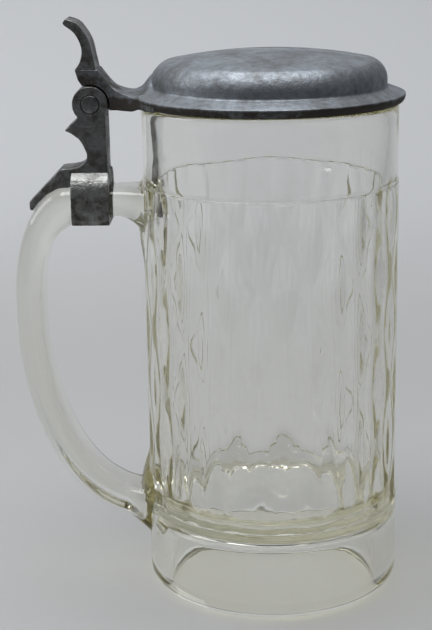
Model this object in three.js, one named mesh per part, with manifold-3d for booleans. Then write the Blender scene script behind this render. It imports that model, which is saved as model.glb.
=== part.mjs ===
import * as THREE from "three";
import { mergeVertices } from "three/addons/utils/BufferGeometryUtils.js";
import Module from "manifold-3d";

const wasm = await Module();
wasm.setup();

// Pressed-glass beer mug with a pewter lid on a hinge. Millimetres, +Z up. It is drawn round the body's
// axis, with the foot at z = 0 and the handle towards -X in the plane y = 0, and at the end it is moved
// along X so that the origin is the bottom centre of the whole mug.

// Glass body
const bodyRadius = 42.5;
const bodyHeight = 167.1;
const rimWall = 4.1;
const boreDraft = 1.0;
const boreCorner = 9;
const floorThickness = 29.5;
const heelRadius = 5.6;
const lipRadius = 1.3;
const footBand = 31.5;
const rimBand = 25.9;
const ledgeEdge = 0.5;

// Hollow under the foot, whose rim is the ring that the mug stands on
const hollowRadius = 35.2;
const hollowHeight = 25.5;
const hollowDraft = 0.7;
const hollowBend = 3.5;
const toeWidth = 0.7;
const toeHeight = 3;

// Olive facets between the two plain bands: columns of long pointed hollows, tip to tip, staggered
const facetColumns = 32;
const facetLength = 38.5;
const facetWidth = 7.4;
const facetTipWidth = 0.7;
const facetDepth = 0.95;
const facetDrop = 9;
const groundRecess = 0.4;

// Glass handle: its middle line, its section, and how it grows where it meets the body
const handleWidth = 18;
const handleCorner = 3.6;
const handleThickness = 10.4;
const gripThickness = 9.8;
const lowerThickness = 11.4;
const handleDrop = 0.9;
const handleReach = 81.9;
const handleRoot = 1.2;
const bendReach = 66.5;
const shoulderDrop = 33;
const gripBulge = 1.2;
const gripStraight = 40.9;
const lowerBend = 66.3;
const lowerSag = 2;
const lowerJoint = 28.5;
const palmSwell = 2.7;
const palmLead = 6.5;
const palmShare = 0.22;
const palmEnd = 0.67;
const upperFlare = 6;
const lowerFlare = 6.5;
const flareLength = 9;
const flareWidth = 1.8;

// Pointed leaves of glass where the handle springs from the body: lower end, upper end
const upperLeaf = [110, 141];
const lowerLeaf = [11.5, 47];
const leafOut = 4.2;
const leafWidth = 15;

// Hinge
const hingeWidth = 12.6;
const knuckleWidth = 4.2;
const knuckleGap = 0.25;
const lugRadius = 6;
const lugGap = 0.45;
const pinRadius = 2.9;
const pinFit = 0.08;
const pinHead = 0.35;
const pinDome = 0.6;
const pinReach = 58.9;
const pinRise = 0.6;

// Shank that carries the hinge, and the strap that holds it to the handle
const neckFront = 5;
const baseThickness = 5.5;
const baseFlare = 0.5;
const strapWidth = 12.6;
const strapWall = 1.3;
const strapFoot = 2;
const strapShoulder = 1.2;
const strapChamfer = 0.8;
const strapLap = 0.5;
const glassGap = 0.2;
const tangSweep = THREE.MathUtils.degToRad(36);
const tangTip = 3.4;
const tangReach = 0.8;
const tangLift = 0.8;
const tangTipWidth = 7;
const tangBack = [[0.33, 3.74], [0.6, 2.51]];

// Lid
const lidSeat = 0.3;
const flangeRadius = 44.6;
const flangeEdge = 3.2;
const flangeRise = 1.6;
const flangeSlope = 1.1;
const domeRadius = 38.6;
const domeHeight = 17;
const domeShoulder = 7;
const domeTurn = 1.15;
const domeCrown = 2.8;
const domeFillet = 0.7;
const lidWall = 1.7;
const solderGap = 0.05;

// Side-view outlines of the pewter pieces. Each point is forward (towards the lid) and up from the pin.
const spurTip = [[-8.8, -8.5], [-6.6, -9.5]];
const neckCurve = [[-3.8, -11.8], [-2, -15.3], [-1.6, -17.2], [-2.2, -18.8], [-4.8, -20.7], [-10.8, -21.4]];
const spurRoot = THREE.MathUtils.degToRad(226);
const blockBack = [[-4.6, 11.4], [-3.7, 8.1], [-2.1, 5.6]];
const armUnder = [[6, -1.9], [15.4, -2.4]];
const armCurve = [[19.3, 8.3], [16.7, 5.3], [12.7, 4], [9.3, 4.6], [6.8, 6.3], [4.6, 9], [2.8, 11.4]];
const thumbFront = [[2.4, 11.4], [1.5, 15.7], [0.7, 19.6], [-0.9, 23], [-3.5, 26.3], [-7.1, 27.7]];
const thumbBack = [[-7.5, 25.6], [-4.6, 23.4], [-2.8, 20.4], [-2.1, 17.3], [-2.8, 13.9], [-4.5, 11.4]];
const thumbTip = [-8, 26.4];

const facetTop = bodyHeight - rimBand;
const boreRadius = bodyRadius - rimWall;
const groundRadius = bodyRadius - groundRecess;
const handleTop = facetTop - handleDrop;
const pinX = -pinReach;
const pinZ = bodyHeight + pinRise;
const neckFrontX = pinX + neckFront;
const strapFrontX = neckFrontX + baseFlare;
const strapBackX = strapFrontX - strapWidth;
const baseTop = handleTop + baseThickness;
const lidUnder = bodyHeight + lidSeat;
const flangeTop = lidUnder + flangeEdge + flangeRise;

// A closed geometry as a solid whose shared corners are merged
function solidOf(geometry) {
  geometry.deleteAttribute("normal");
  geometry.deleteAttribute("uv");
  const merged = mergeVertices(geometry, 1e-4);
  const mesh = new wasm.Mesh({
    numProp: 3,
    vertProperties: merged.attributes.position.array,
    triVerts: new Uint32Array(merged.index.array),
  });
  return new wasm.Manifold(mesh);
}

// A solid as a geometry again
function geometryOf(solid) {
  const mesh = solid.getMesh();
  const geometry = new THREE.BufferGeometry();
  geometry.setAttribute("position", new THREE.BufferAttribute(mesh.vertProperties, 3));
  geometry.setIndex(new THREE.BufferAttribute(mesh.triVerts, 1));
  const flat = geometry.toNonIndexed();
  flat.computeVertexNormals();
  return flat;
}

// A profile of [radius, height] turned round the Z axis
function turned(profile, segments) {
  const points = profile.map(([radius, height]) => new THREE.Vector2(radius, height));
  const geometry = new THREE.LatheGeometry(points, segments);
  geometry.rotateX(Math.PI / 2);
  return solidOf(geometry);
}

// A side view in the plane of the handle, given a width along Y
function plate(shape, width) {
  const settings = { depth: width, curveSegments: 8, bevelEnabled: false };
  const geometry = new THREE.ExtrudeGeometry(shape, settings);
  geometry.rotateX(Math.PI / 2);
  geometry.translate(0, width / 2, 0);
  return solidOf(geometry);
}

// Rings of equal count, each counter-clockwise seen from the next one, skinned and closed at both ends
function lofted(rings) {
  const count = rings[0].length;
  const middles = [rings[0], rings.at(-1)].map((ring) =>
    ring.reduce((sum, point) => sum.add(point), new THREE.Vector3()).divideScalar(count),
  );
  const points = [...rings.flat(), ...middles];
  const first = rings.length * count;
  const faces = [];
  for (let column = 0; column < count; column++) {
    const next = (column + 1) % count;
    for (let row = 0; row + 1 < rings.length; row++) {
      const low = row * count;
      const high = low + count;
      faces.push(low + column, low + next, high + next);
      faces.push(low + column, high + next, high + column);
    }
    const last = first - count;
    faces.push(first, next, column);
    faces.push(first + 1, last + column, last + next);
  }
  const geometry = new THREE.BufferGeometry().setFromPoints(points);
  geometry.setIndex(faces);
  return solidOf(geometry);
}

// Points of a circular arc in a profile, from one angle to another
function arc(centreX, centreY, radius, from, to, steps) {
  return Array.from({ length: steps + 1 }, (_, step) => {
    const angle = from + ((to - from) * step) / steps;
    return [centreX + radius * Math.cos(angle), centreY + radius * Math.sin(angle)];
  });
}

// Solid foot band with its rounded heel
function footSolid() {
  const heel = arc(bodyRadius - heelRadius, heelRadius, heelRadius, -Math.PI / 2, 0, 4);
  const edge = [[bodyRadius, footBand - ledgeEdge], [bodyRadius - ledgeEdge, footBand]];
  return turned([[0, 0], ...heel, ...edge, [0, footBand]], 64);
}

// The room under the foot, with its inner edge eased and its roof turned in on a bend
function hollowSolid() {
  const below = 1;
  const edge = hollowRadius + toeWidth;
  const roof = hollowRadius - hollowDraft - hollowBend;
  const bend = arc(roof, hollowHeight - hollowBend, hollowBend, 0, Math.PI / 2, 2);
  const wall = [[0, -below], [edge, -below], [edge, 0], [hollowRadius, toeHeight]];
  return turned([...wall, ...bend, [0, hollowHeight]], 48);
}

// Plain rim band with its rounded lip
function rimSolid() {
  const edge = [[bodyRadius - ledgeEdge, facetTop], [bodyRadius, facetTop + ledgeEdge]];
  const lip = arc(bodyRadius - lipRadius, bodyHeight - lipRadius, lipRadius, 0, Math.PI / 2, 2);
  return turned([[0, facetTop], ...edge, ...lip, [0, bodyHeight]], 64);
}

// The facets. Every column is a chain of hollows whose half width goes as the sine of the height, so
// they meet in points, and every other column is moved up by half a hollow. Across a hollow the cut is
// a parabola of one curvature, so it is deepest where the hollow is widest.
function facetSolid() {
  const cuts = 3;
  const beads = 6;
  const sunk = 1;
  const low = footBand - sunk;
  const high = facetTop + sunk;
  const tip = facetTop - facetDrop;
  const column = (2 * Math.PI) / facetColumns;
  const widest = facetWidth / 2;
  const bead = facetLength / beads;
  const first = Math.ceil((low + sunk - tip) / bead);
  const last = Math.floor((high - sunk - tip) / bead);
  const levels = Array.from({ length: last - first + 1 }, (_, index) => tip + (first + index) * bead);
  const rings = [low, ...levels, high].map((height) =>
    Array.from({ length: facetColumns * (cuts + 1) }, (_, index) => {
      const number = Math.floor(index / (cuts + 1));
      const phase = (height - tip) / facetLength + (number % 2) / 2;
      const half = Math.max(facetTipWidth / 2, widest * Math.abs(Math.sin(Math.PI * phase)));
      const side = half * ((2 * (index % (cuts + 1))) / cuts - 1);
      const angle = (number + 0.5) * column + side / groundRadius;
      const radius = groundRadius - facetDepth * ((half ** 2 - side ** 2) / widest ** 2);
      return new THREE.Vector3(radius * Math.cos(angle), radius * Math.sin(angle), height);
    }),
  );
  return lofted(rings);
}

// The room for the beer: slightly narrower at the bottom, with a rounded corner
function boreSolid() {
  const bottom = boreRadius - boreDraft;
  const above = 5;
  const drift = (boreDraft * above) / (bodyHeight - floorThickness);
  const corner = arc(bottom - boreCorner, floorThickness + boreCorner, boreCorner, -Math.PI / 2, 0, 4);
  const mouth = [[boreRadius + drift, bodyHeight + above], [0, bodyHeight + above]];
  return turned([[0, floorThickness], ...corner, ...mouth], 48);
}

// The handle's middle line: straight out under the strap, round the shoulder by a quarter ellipse and
// down the grip in one sweep to the lower joint
function handleCurves() {
  const level = handleTop - handleThickness / 2;
  const inner = -(boreRadius + handleRoot);
  const grip = level - shoulderDrop;
  return [
    new THREE.LineCurve(new THREE.Vector2(inner, level), new THREE.Vector2(-bendReach, level)),
    new THREE.EllipseCurve(-bendReach, grip, handleReach - bendReach, shoulderDrop, Math.PI / 2, Math.PI),
    new THREE.CubicBezierCurve(
      new THREE.Vector2(-handleReach, grip),
      new THREE.Vector2(-handleReach - gripBulge, grip - gripStraight),
      new THREE.Vector2(-lowerBend, lowerJoint - lowerSag),
      new THREE.Vector2(inner, lowerJoint),
    ),
  ];
}

// How far the underside of the shoulder swells into the palm, at a share of one part of the handle
function palmBulge(part, along, place) {
  const lead = palmShare * (1 - (place.x + bendReach) / palmLead);
  const turn = [lead, palmShare + ((1 - palmShare) * along) / palmEnd, 1][part];
  return palmSwell * Math.sin(Math.PI * THREE.MathUtils.clamp(turn, 0, 1)) ** 2;
}

// A round-cornered section: [out, side] pairs, out being away from the hand's side
function handleSection(outer, inner, half, corner) {
  const corners = [
    [outer - corner, half - corner, 0],
    [corner - inner, half - corner, 1],
    [corner - inner, corner - half, 2],
    [outer - corner, corner - half, 3],
  ];
  return corners.flatMap(([out, side, turn]) =>
    arc(out, side, corner, (turn * Math.PI) / 2, ((turn + 1) * Math.PI) / 2, 2),
  );
}

// The glass handle, larger all round by a clearance when it serves to cut the pewter that hugs it
function handleSolid(clearance = 0) {
  const steps = [8, 9, 13];
  const rings = [];
  handleCurves().forEach((curve, part) => {
    for (let step = part > 0 ? 1 : 0; step <= steps[part]; step++) {
      const along = step / steps[part];
      const place = curve.getPoint(along);
      const heading = curve.getTangent(along);
      const from = [handleThickness, handleThickness, gripThickness][part];
      const to = [handleThickness, gripThickness, lowerThickness][part];
      const half = (from + (to - from) * along) / 2 + clearance;
      const near = Math.max(0, 1 - (-place.x - groundRadius) / flareLength);
      const flare = Math.min(1, near) ** 2;
      const outer = half + (part === 2 ? lowerFlare * flare : 0);
      const inner = half + (part === 0 ? upperFlare * flare : 0) + palmBulge(part, along, place);
      const side = handleWidth / 2 + clearance + flareWidth * flare;
      rings.push(
        handleSection(outer, inner, side, handleCorner + clearance).map(
          ([out, across]) =>
            new THREE.Vector3(place.x + out * heading.y, across, place.y - out * heading.x),
        ),
      );
    }
  });
  return lofted(rings);
}

// One pointed leaf, half sunk in the body
function leafSolid([low, high]) {
  const reach = (high - low) / 2;
  const shares = [-1, -0.75, -0.5, -0.25, 0, 0.25, 0.5, 0.75, 1];
  const points = shares.map((share) => new THREE.Vector2(leafOut * (1 - share ** 2), reach * share));
  const geometry = new THREE.LatheGeometry(points, 16);
  geometry.rotateX(Math.PI / 2);
  geometry.scale(1, leafWidth / 2 / leafOut, 1);
  geometry.translate(-groundRadius, 0, low + reach);
  return solidOf(geometry);
}

// Body, facets, handle and leaves are pressed in one piece
function glassSolid() {
  return footSolid()
    .add(facetSolid())
    .add(rimSolid())
    .add(handleSolid())
    .add(leafSolid(upperLeaf))
    .add(leafSolid(lowerLeaf))
    .subtract(boreSolid())
    .subtract(hollowSolid());
}

// A disc across the hinge, centred on the pin
function pinDisc(radius, width) {
  const geometry = new THREE.CylinderGeometry(radius, radius, width, 36);
  geometry.translate(pinX, 0, 0);
  const disc = solidOf(geometry);
  return disc.translate(0, 0, pinZ);
}

// Points given from the pin
function fromPin(points) {
  return points.map(([forward, up]) => new THREE.Vector2(pinX + forward, pinZ + up));
}

// The shank in side view: hinge lug, spur that stops the lid, waisted neck, base and rear tang
function shankShape() {
  const lugFoot = Math.asin(neckFront / lugRadius) - Math.PI / 2;
  const [, shoulder] = handleCurves();
  const overGlass = (sweepShare, thickness) => {
    const share = (sweepShare * tangSweep) / (Math.PI / 2);
    const heading = shoulder.getTangent(share);
    const outward = new THREE.Vector2(heading.y, -heading.x);
    return shoulder.getPoint(share).addScaledVector(outward, handleThickness / 2 + thickness);
  };
  const tip = overGlass(1, 0);
  const [spurEnd, spurFoot] = fromPin(spurTip);
  const shape = new THREE.Shape();
  shape.moveTo(strapFrontX, handleTop - handleCorner);
  shape.lineTo(strapFrontX, handleTop + strapShoulder);
  shape.lineTo(neckFrontX, baseTop);
  shape.absarc(pinX, pinZ, lugRadius, lugFoot, spurRoot, false);
  shape.lineTo(spurEnd.x, spurEnd.y);
  shape.lineTo(spurFoot.x, spurFoot.y);
  shape.splineThru(fromPin(neckCurve));
  for (const [sweepShare, thickness] of tangBack) {
    const point = overGlass(sweepShare, thickness);
    shape.lineTo(point.x, point.y);
  }
  shape.lineTo(tip.x - tangReach, tip.y + tangTip);
  shape.lineTo(tip.x - tangReach, tip.y + tangLift);
  shape.lineTo(tip.x + tangTip, tip.y - tangLift);
  shape.lineTo(strapBackX, handleTop - handleThickness / 2);
  return shape;
}

// The shank in plan: full width over the strap, the tang narrowing to a rounded tip
function shankPlan() {
  const half = hingeWidth / 2;
  const beyond = 1;
  const sides = [
    [strapFrontX + beyond, half + beyond],
    [strapBackX, half + beyond],
    [strapBackX, half],
    [-handleReach, tangTipWidth / 2],
  ];
  const ring = [...sides, ...sides.map(([x, y]) => [x, -y]).reverse()];
  const plan = new THREE.Shape(ring.map(([x, y]) => new THREE.Vector2(x, y)));
  const geometry = new THREE.ExtrudeGeometry(plan, { depth: pinZ, bevelEnabled: false });
  geometry.translate(0, 0, handleTop - pinZ / 2);
  return solidOf(geometry);
}

// Two outer cheeks with a slot for the lid's knuckle, standing on the handle
function shankSolid() {
  const slot = pinDisc(lugRadius + lugGap, knuckleWidth + 2 * knuckleGap);
  const bore = pinDisc(pinRadius + pinFit, 2 * hingeWidth);
  return plate(shankShape(), hingeWidth)
    .intersect(shankPlan())
    .subtract(handleSolid(glassGap))
    .subtract(slot)
    .subtract(bore);
}

// The strap goes round the glass and laps up against both sides of the shank's base
function strapSolid() {
  const side = handleWidth / 2 + glassGap + strapWall;
  const foot = handleTop - handleThickness - glassGap - strapFoot;
  const half = [
    [hingeWidth / 2, baseTop - strapLap],
    [side - strapChamfer, handleTop + strapShoulder],
    [side, handleTop - strapFoot],
    [side, foot + handleCorner],
    [side - handleCorner + 1, foot],
  ];
  const ring = [...half, ...half.map(([y, z]) => [-y, z]).reverse()];
  const outline = new THREE.Shape(ring.map(([y, z]) => new THREE.Vector2(y, z)).reverse());
  const geometry = new THREE.ExtrudeGeometry(outline, { depth: strapWidth, bevelEnabled: false });
  geometry.rotateX(Math.PI / 2);
  geometry.rotateZ(Math.PI / 2);
  geometry.translate(strapBackX, 0, 0);
  const tall = 2 * (baseThickness + handleCorner);
  const base = new THREE.BoxGeometry(4 * strapWidth, hingeWidth + 2 * solderGap, tall);
  base.translate(strapBackX, 0, handleTop + baseThickness);
  return solidOf(geometry).subtract(handleSolid(glassGap)).subtract(solidOf(base));
}

// Riveted pin with low domed heads, a little proud of both cheeks
function pinSolid() {
  const reach = hingeWidth / 2;
  const points = [
    [0, -reach - pinHead],
    [pinDome * pinRadius, -reach - pinDome * pinHead],
    [pinRadius, -reach],
    [pinRadius, reach],
    [pinDome * pinRadius, reach + pinDome * pinHead],
    [0, reach + pinHead],
  ];
  const geometry = new THREE.LatheGeometry(points.map(([x, y]) => new THREE.Vector2(x, y)), 32);
  geometry.translate(pinX, 0, 0);
  return solidOf(geometry).translate(0, 0, pinZ);
}

// Points of the crown above the dome's shoulder, flattening as a parabola towards the axis
function crown(outer, shoulderTop, top, shares) {
  return shares.map((share) => [outer * share, top - (top - shoulderTop) * share ** 2]);
}

// The lid's outside from the flange's lower edge to the top of the dome, moved out by a gap
function lidOutside(gap) {
  const edge = flangeEdge / 2;
  const top = lidUnder + domeHeight;
  const middle = domeRadius - domeShoulder;
  const shoulderZ = top - domeCrown - domeShoulder;
  const shoulder = arc(middle, shoulderZ, domeShoulder + gap, 0, domeTurn, 4);
  const [outer, shoulderTop] = shoulder.at(-1);
  return [
    ...arc(flangeRadius - edge, lidUnder + edge, edge + gap, -Math.PI / 2, flangeSlope, 4),
    [domeRadius + domeFillet + gap, flangeTop + gap],
    [domeRadius + gap, flangeTop + domeFillet + gap],
    ...shoulder,
    ...crown(outer, shoulderTop, top + gap, [0.66, 0.33, 0]),
  ];
}

// Domed lid, hollow inside, whose flat flange rests on the rim
function lidSolid() {
  const roof = lidUnder + domeHeight - lidWall;
  const corner = domeShoulder - lidWall;
  const below = 1;
  const shoulder = arc(domeRadius - domeShoulder, roof - domeCrown - corner, corner, 0, domeTurn, 4);
  const [outer, shoulderTop] = shoulder.at(-1);
  const mouth = [[0, lidUnder - below], [domeRadius - lidWall, lidUnder - below]];
  const room = turned([...mouth, ...shoulder, ...crown(outer, shoulderTop, roof, [0.5, 0])], 40);
  return turned([[0, lidUnder], ...lidOutside(0)], 60).subtract(room);
}

// The lid arm in side view: the block over the hinge and the arm that sweeps down to the lid
function armShape() {
  const sunk = 2;
  const [dome] = fromPin(armCurve);
  return new THREE.Shape([
    ...fromPin(blockBack),
    new THREE.Vector2(pinX, pinZ),
    ...fromPin(armUnder),
    new THREE.Vector2(-flangeRadius + sunk, lidUnder),
    new THREE.Vector2(-domeRadius + sunk, lidUnder),
    new THREE.Vector2(-domeRadius + sunk, dome.y),
    ...new THREE.SplineCurve(fromPin(armCurve)).getPoints(18),
  ]);
}

// The arm's outer parts are hollowed to clear the lugs, and its middle carries the knuckle
function armSolid() {
  const shape = armShape();
  const lidRoom = turned([[0, lidUnder - solderGap], ...lidOutside(solderGap)], 60);
  const knuckle = pinDisc(lugRadius, knuckleWidth).add(plate(shape, knuckleWidth));
  return plate(shape, hingeWidth)
    .subtract(pinDisc(lugRadius + lugGap, 2 * hingeWidth))
    .add(knuckle)
    .subtract(pinDisc(pinRadius + pinFit, 2 * hingeWidth))
    .subtract(lidRoom);
}

// The thumb lift in side view: a blade that thins to a waist and curls back to a blunt tip
function thumbShape() {
  const outline = new THREE.Shape([
    ...new THREE.SplineCurve(fromPin(thumbFront)).getPoints(16),
    ...fromPin([thumbTip]),
    ...new THREE.SplineCurve(fromPin(thumbBack)).getPoints(16),
  ]);
  return outline;
}

// It stands on the block, on a film of solder
function thumbSolid() {
  return plate(thumbShape(), hingeWidth).translate(0, 0, solderGap);
}

const pewter = { color: 0x5f6367, roughness: 0.48, metalness: 0.9 };
const finishes = {
  glass: { color: 0xe6eadf, roughness: 0.04, metalness: 0, transparent: true, opacity: 0.4 },
  pewter,
  pewterBright: { ...pewter, color: 0x7c8085, roughness: 0.4 },
  steel: { color: 0x55585c, roughness: 0.38, metalness: 1 },
};

function part(name, solid, finish) {
  const mesh = new THREE.Mesh(geometryOf(solid), new THREE.MeshStandardMaterial(finishes[finish]));
  mesh.name = name;
  return mesh;
}

const mug = new THREE.Group();
mug.add(
  part("glass_mug", glassSolid(), "glass"),
  part("handle_strap", strapSolid(), "pewterBright"),
  part("hinge_shank", shankSolid(), "pewter"),
  part("hinge_pin", pinSolid(), "steel"),
);

const lid = new THREE.Group();
lid.add(
  part("lid", lidSolid(), "pewter"),
  part("lid_arm", armSolid(), "pewter"),
  part("thumb_lift", thumbSolid(), "pewter"),
);

const stein = new THREE.Group();
stein.add(mug, lid);
const extent = new THREE.Box3().setFromObject(stein);
stein.position.x = -(extent.min.x + extent.max.x) / 2;

export default stein;
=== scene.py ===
"""Pressed glass beer mug with a hinged pewter lid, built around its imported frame.

Metres, +Z up. The origin is the bottom centre of the whole mug, and the handle stands out towards -X.
Pieces are worked out from the axis of the glass body, and new_object moves them to their place.
"""

import math

import bmesh
import bpy
import numpy as np
from bpy.props import FloatProperty, FloatVectorProperty, IntProperty, PointerProperty
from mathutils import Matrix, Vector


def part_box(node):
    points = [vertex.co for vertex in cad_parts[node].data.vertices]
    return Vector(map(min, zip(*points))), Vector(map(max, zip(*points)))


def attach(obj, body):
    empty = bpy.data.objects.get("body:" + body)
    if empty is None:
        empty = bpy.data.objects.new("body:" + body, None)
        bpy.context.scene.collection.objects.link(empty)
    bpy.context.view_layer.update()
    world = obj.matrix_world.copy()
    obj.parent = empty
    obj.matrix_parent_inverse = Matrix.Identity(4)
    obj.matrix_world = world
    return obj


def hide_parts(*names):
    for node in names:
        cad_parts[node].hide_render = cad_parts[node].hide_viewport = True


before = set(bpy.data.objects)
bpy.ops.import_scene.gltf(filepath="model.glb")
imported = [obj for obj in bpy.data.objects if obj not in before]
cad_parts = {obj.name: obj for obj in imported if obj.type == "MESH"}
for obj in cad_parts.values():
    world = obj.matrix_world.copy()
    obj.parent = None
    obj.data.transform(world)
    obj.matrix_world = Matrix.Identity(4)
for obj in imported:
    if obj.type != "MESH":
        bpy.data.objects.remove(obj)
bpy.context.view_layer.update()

bl_info = {
    "name": "Pewter Lidded Beer Mug",
    "version": (1, 0, 0),
    "blender": (4, 5, 0),
    "location": "View3D > Sidebar > Mug",
    "description": "Pressed glass mug with a hinged pewter lid, built around its packed frame",
    "category": "Add Mesh",
}

MM = 0.001

# Points of a CAD mesh closer than this are one
MERGE = 0.000002


def middle(node):
    """The middle of a CAD node's box."""
    low, high = (np.array(corner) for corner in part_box(node))
    return (low + high) / 2


# The body's axis, and the places of the hinge pin and the strap's corners from it
AXIS = middle("lid") * (1, 0, 0)
PIN_X, _, PIN_Z = middle("hinge_pin") - AXIS
STRAP_LOW, STRAP_HIGH = (np.array(corner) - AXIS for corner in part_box("handle_strap"))
GLASS_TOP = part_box("glass_mug")[1].z
LID_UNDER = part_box("lid")[0].z
# Heights between which the painted shade on the flange's side starts and is whole
FLANGE_SHADE = (LID_UNDER + 0.003, LID_UNDER + 0.0022)

# Distance of the first facet tips from the upper ledge, how far the ground between the facets lies inside
# the foot's band, and the squared share of its greatest width that a hollow keeps at its tips
FIRST_TIP = 0.009
FACET_SINK = 0.0003
FACET_CHANNEL = 0.08

# The handle's roots: lower and upper end, greatest height over the body, and half width
HANDLE_LEAVES = ((0.108, 0.1445, 0.0022, 0.0105), (0.011, 0.047, 0.003, 0.014))

# Height of the middle line of the handle's straight part
HANDLE_LEVEL = 0.1351

# Top of the lid's arm in side view, in millimetres forward of and above the hinge pin
ARM_TOP = [
    (2.8, 11.4), (4.6, 9.0), (6.8, 6.3), (9.3, 4.6), (12.7, 4.0),
    (16.7, 5.3), (19.3, 8.3), (20.6, 9.3), (23.0, 10.0),
]

# Half of the strap's outline, in millimetres from its middle and above its underside
STRAP_HALF = [
    (0, 0), (6.5, 0), (9.2, 0.25), (10.2, 1.4), (10.5, 4),
    (10.5, 8.6), (10.35, 11.6), (9.6, 14.1), (8.2, 16.1), (6.4, 17.5),
]

# Dents in the lid: place round the axis in turns, distance from the axis, width and depth in metres
LID_DENTS = np.array(
    [
        (0.62, 0.031, 0.0080, 0.00035),
        (0.71, 0.036, 0.0060, 0.00030),
        (0.80, 0.029, 0.0090, 0.00030),
        (0.90, 0.034, 0.0070, 0.00040),
        (0.97, 0.024, 0.0080, 0.00025),
        (0.08, 0.035, 0.0060, 0.00030),
        (0.21, 0.030, 0.0090, 0.00035),
        (0.34, 0.033, 0.0070, 0.00025),
        (0.47, 0.028, 0.0080, 0.00030),
        (0.76, 0.015, 0.0090, 0.00025),
        (0.26, 0.012, 0.0080, 0.00025),
    ]
)


def length(name, description, default):
    """A length in metres in the sidebar."""
    return FloatProperty(name=name, description=description, default=default, unit="LENGTH")


def to_linear(hex_colour):
    """An sRGB colour such as "8C9298" as a linear colour with alpha."""
    values = np.array([int(hex_colour[i : i + 2], 16) for i in (0, 2, 4)]) / 255
    linear = np.where(values <= 0.04045, values / 12.92, ((values + 0.055) / 1.055) ** 2.4)
    return (*(float(value) for value in linear), 1.0)


def tint(name, description, hex_colour):
    """A colour in the sidebar, given as an sRGB hex value."""
    return FloatVectorProperty(
        name=name, description=description, default=to_linear(hex_colour), subtype="COLOR", size=4, min=0, max=1
    )


class MugGlassSizes(bpy.types.PropertyGroup):
    """Sizes of the glass body and its handle"""

    body_radius: length("Body radius", "Outside radius of the plain band at the rim", 0.0425)
    foot_radius: length("Foot radius", "Outside radius of the plain band at the foot", 0.0432)
    body_height: length("Body height", "Height of the glass without its lid", GLASS_TOP)
    rim_wall: length("Rim wall", "Thickness of the glass at the rim", 0.0041)
    floor_thickness: length("Floor height", "Height of the floor under the beer", 0.0295)
    hollow_radius: length("Foot hollow radius", "Radius of the hollow under the foot", 0.0352)
    hollow_height: length("Foot hollow height", "Height of the hollow under the foot", 0.0255)
    foot_band: length("Foot band", "Height of the plain band at the foot", 0.0315)
    rim_band: length("Rim band", "Height of the plain band at the rim", 0.0259)
    facet_columns: IntProperty(
        name="Facet columns", description="Columns of pointed hollows round the body", default=32, min=8
    )
    facet_length: length("Facet length", "Length of one pointed hollow", 0.0385)
    facet_width: length("Facet width", "Greatest width of one pointed hollow", 0.0074)
    facet_depth: length("Facet depth", "Depth of a hollow at its middle", 0.00095)
    handle_width: length("Handle width", "Width of the handle across the hand", 0.018)
    handle_reach: length("Handle reach", "Distance of the grip's middle line from the mug's axis", 0.0819)


class MugPewterSizes(bpy.types.PropertyGroup):
    """Sizes of the lid and the hinge"""

    flange_radius: length("Flange radius", "Outside radius of the lid's flange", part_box("lid")[1].y)
    dome_radius: length("Dome radius", "Radius of the lid's dome where it meets the flange", 0.0386)
    dome_height: length("Dome height", "Height of the dome's top over the flange's underside", 0.017)
    hinge_width: length("Hinge width", "Width of the hinge, the arm and the thumb lift", 0.0126)
    pin_radius: length("Pin radius", "Radius of the riveted hinge pin", 0.0029)


class MugFinishes(bpy.types.PropertyGroup):
    """Colours of the glass, the pewter and the paper"""

    glass_tint: tint("Glass tint", "What thick glass leaves of white light", "DDD9AC")
    lid_grey: tint("Lid grey", "Dull blue-grey of the rubbed pewter on the lid", "989FA7")
    strap_grey: tint("Strap grey", "Rubbed pewter of the strap round the handle", "A3A5A4")
    hinge_grey: tint("Hinge grey", "Tarnished pewter of the hinge castings", "8A8B8C")
    # this dark colour is also the painted shade along the pewter's shade bands
    tarnish_and_shade: tint("Tarnish", "Dark brown-grey film in the hollows of old pewter", "4B4844")
    floor_grey: tint("Floor grey", "Grey of the paper under and close behind the mug", "A4A5A6")
    # painted light: this paler grey stands in for the light that falls on the upright paper
    wall_grey_painted_light: tint("Wall grey", "Paler grey of the paper where it goes up behind the mug", "C8CACD")


# Meshes


def arc(centre, radius, start, end, count):
    """Points of a circle round a centre, at even steps of angle from start to end."""
    turn = np.linspace(start, end, count)
    return np.stack([centre[0] + radius * np.cos(turn), centre[1] + radius * np.sin(turn)], 1)


def smooth_curve(points, steps):
    """A uniform Catmull-Rom curve: between two points runs the cubic whose slope at each is half the chord of
    its neighbours."""
    points = np.asarray(points, float)
    padded = np.concatenate([points[:1], points, points[-1:]])
    share = np.linspace(0, 1, steps, endpoint=False)[None, :, None]
    before, start, end, after = (padded[k : len(padded) - 3 + k, None, :] for k in range(4))
    cubic = 2 * start + (end - before) * share
    cubic = cubic + (2 * before - 5 * start + 4 * end - after) * share**2
    cubic = cubic + (3 * start - before - 3 * end + after) * share**3
    return np.concatenate([cubic.reshape(-1, 2) / 2, points[-1:]])


def new_object(name, points, faces):
    """A smooth mesh whose points are given from the body's axis."""
    mesh = bpy.data.meshes.new(name)
    mesh.from_pydata((points + AXIS).tolist(), [], faces)
    mesh.validate()
    mesh.shade_smooth()
    piece = bpy.data.objects.new(name, mesh)
    bpy.context.scene.collection.objects.link(piece)
    return piece


def skin(name, rows):
    """Rings of points joined by quads. The first and last rows are single points that close the skin."""
    count = rows.shape[1]
    ring = 1 + np.arange((len(rows) - 2) * count).reshape(-1, count)
    right = np.roll(ring, -1, axis=1)
    points = np.concatenate([rows[:1, 0], rows[1:-1].reshape(-1, 3), rows[-1:, 0]])
    quads = np.stack([ring[:-1], right[:-1], right[1:], ring[1:]], -1).reshape(-1, 4)
    first = np.stack([np.zeros(count, int), right[0], ring[0]], -1)
    last = np.stack([np.full(count, len(points) - 1), ring[-1], right[-1]], -1)
    return new_object(name, points, quads.tolist() + first.tolist() + last.tolist())


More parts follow.
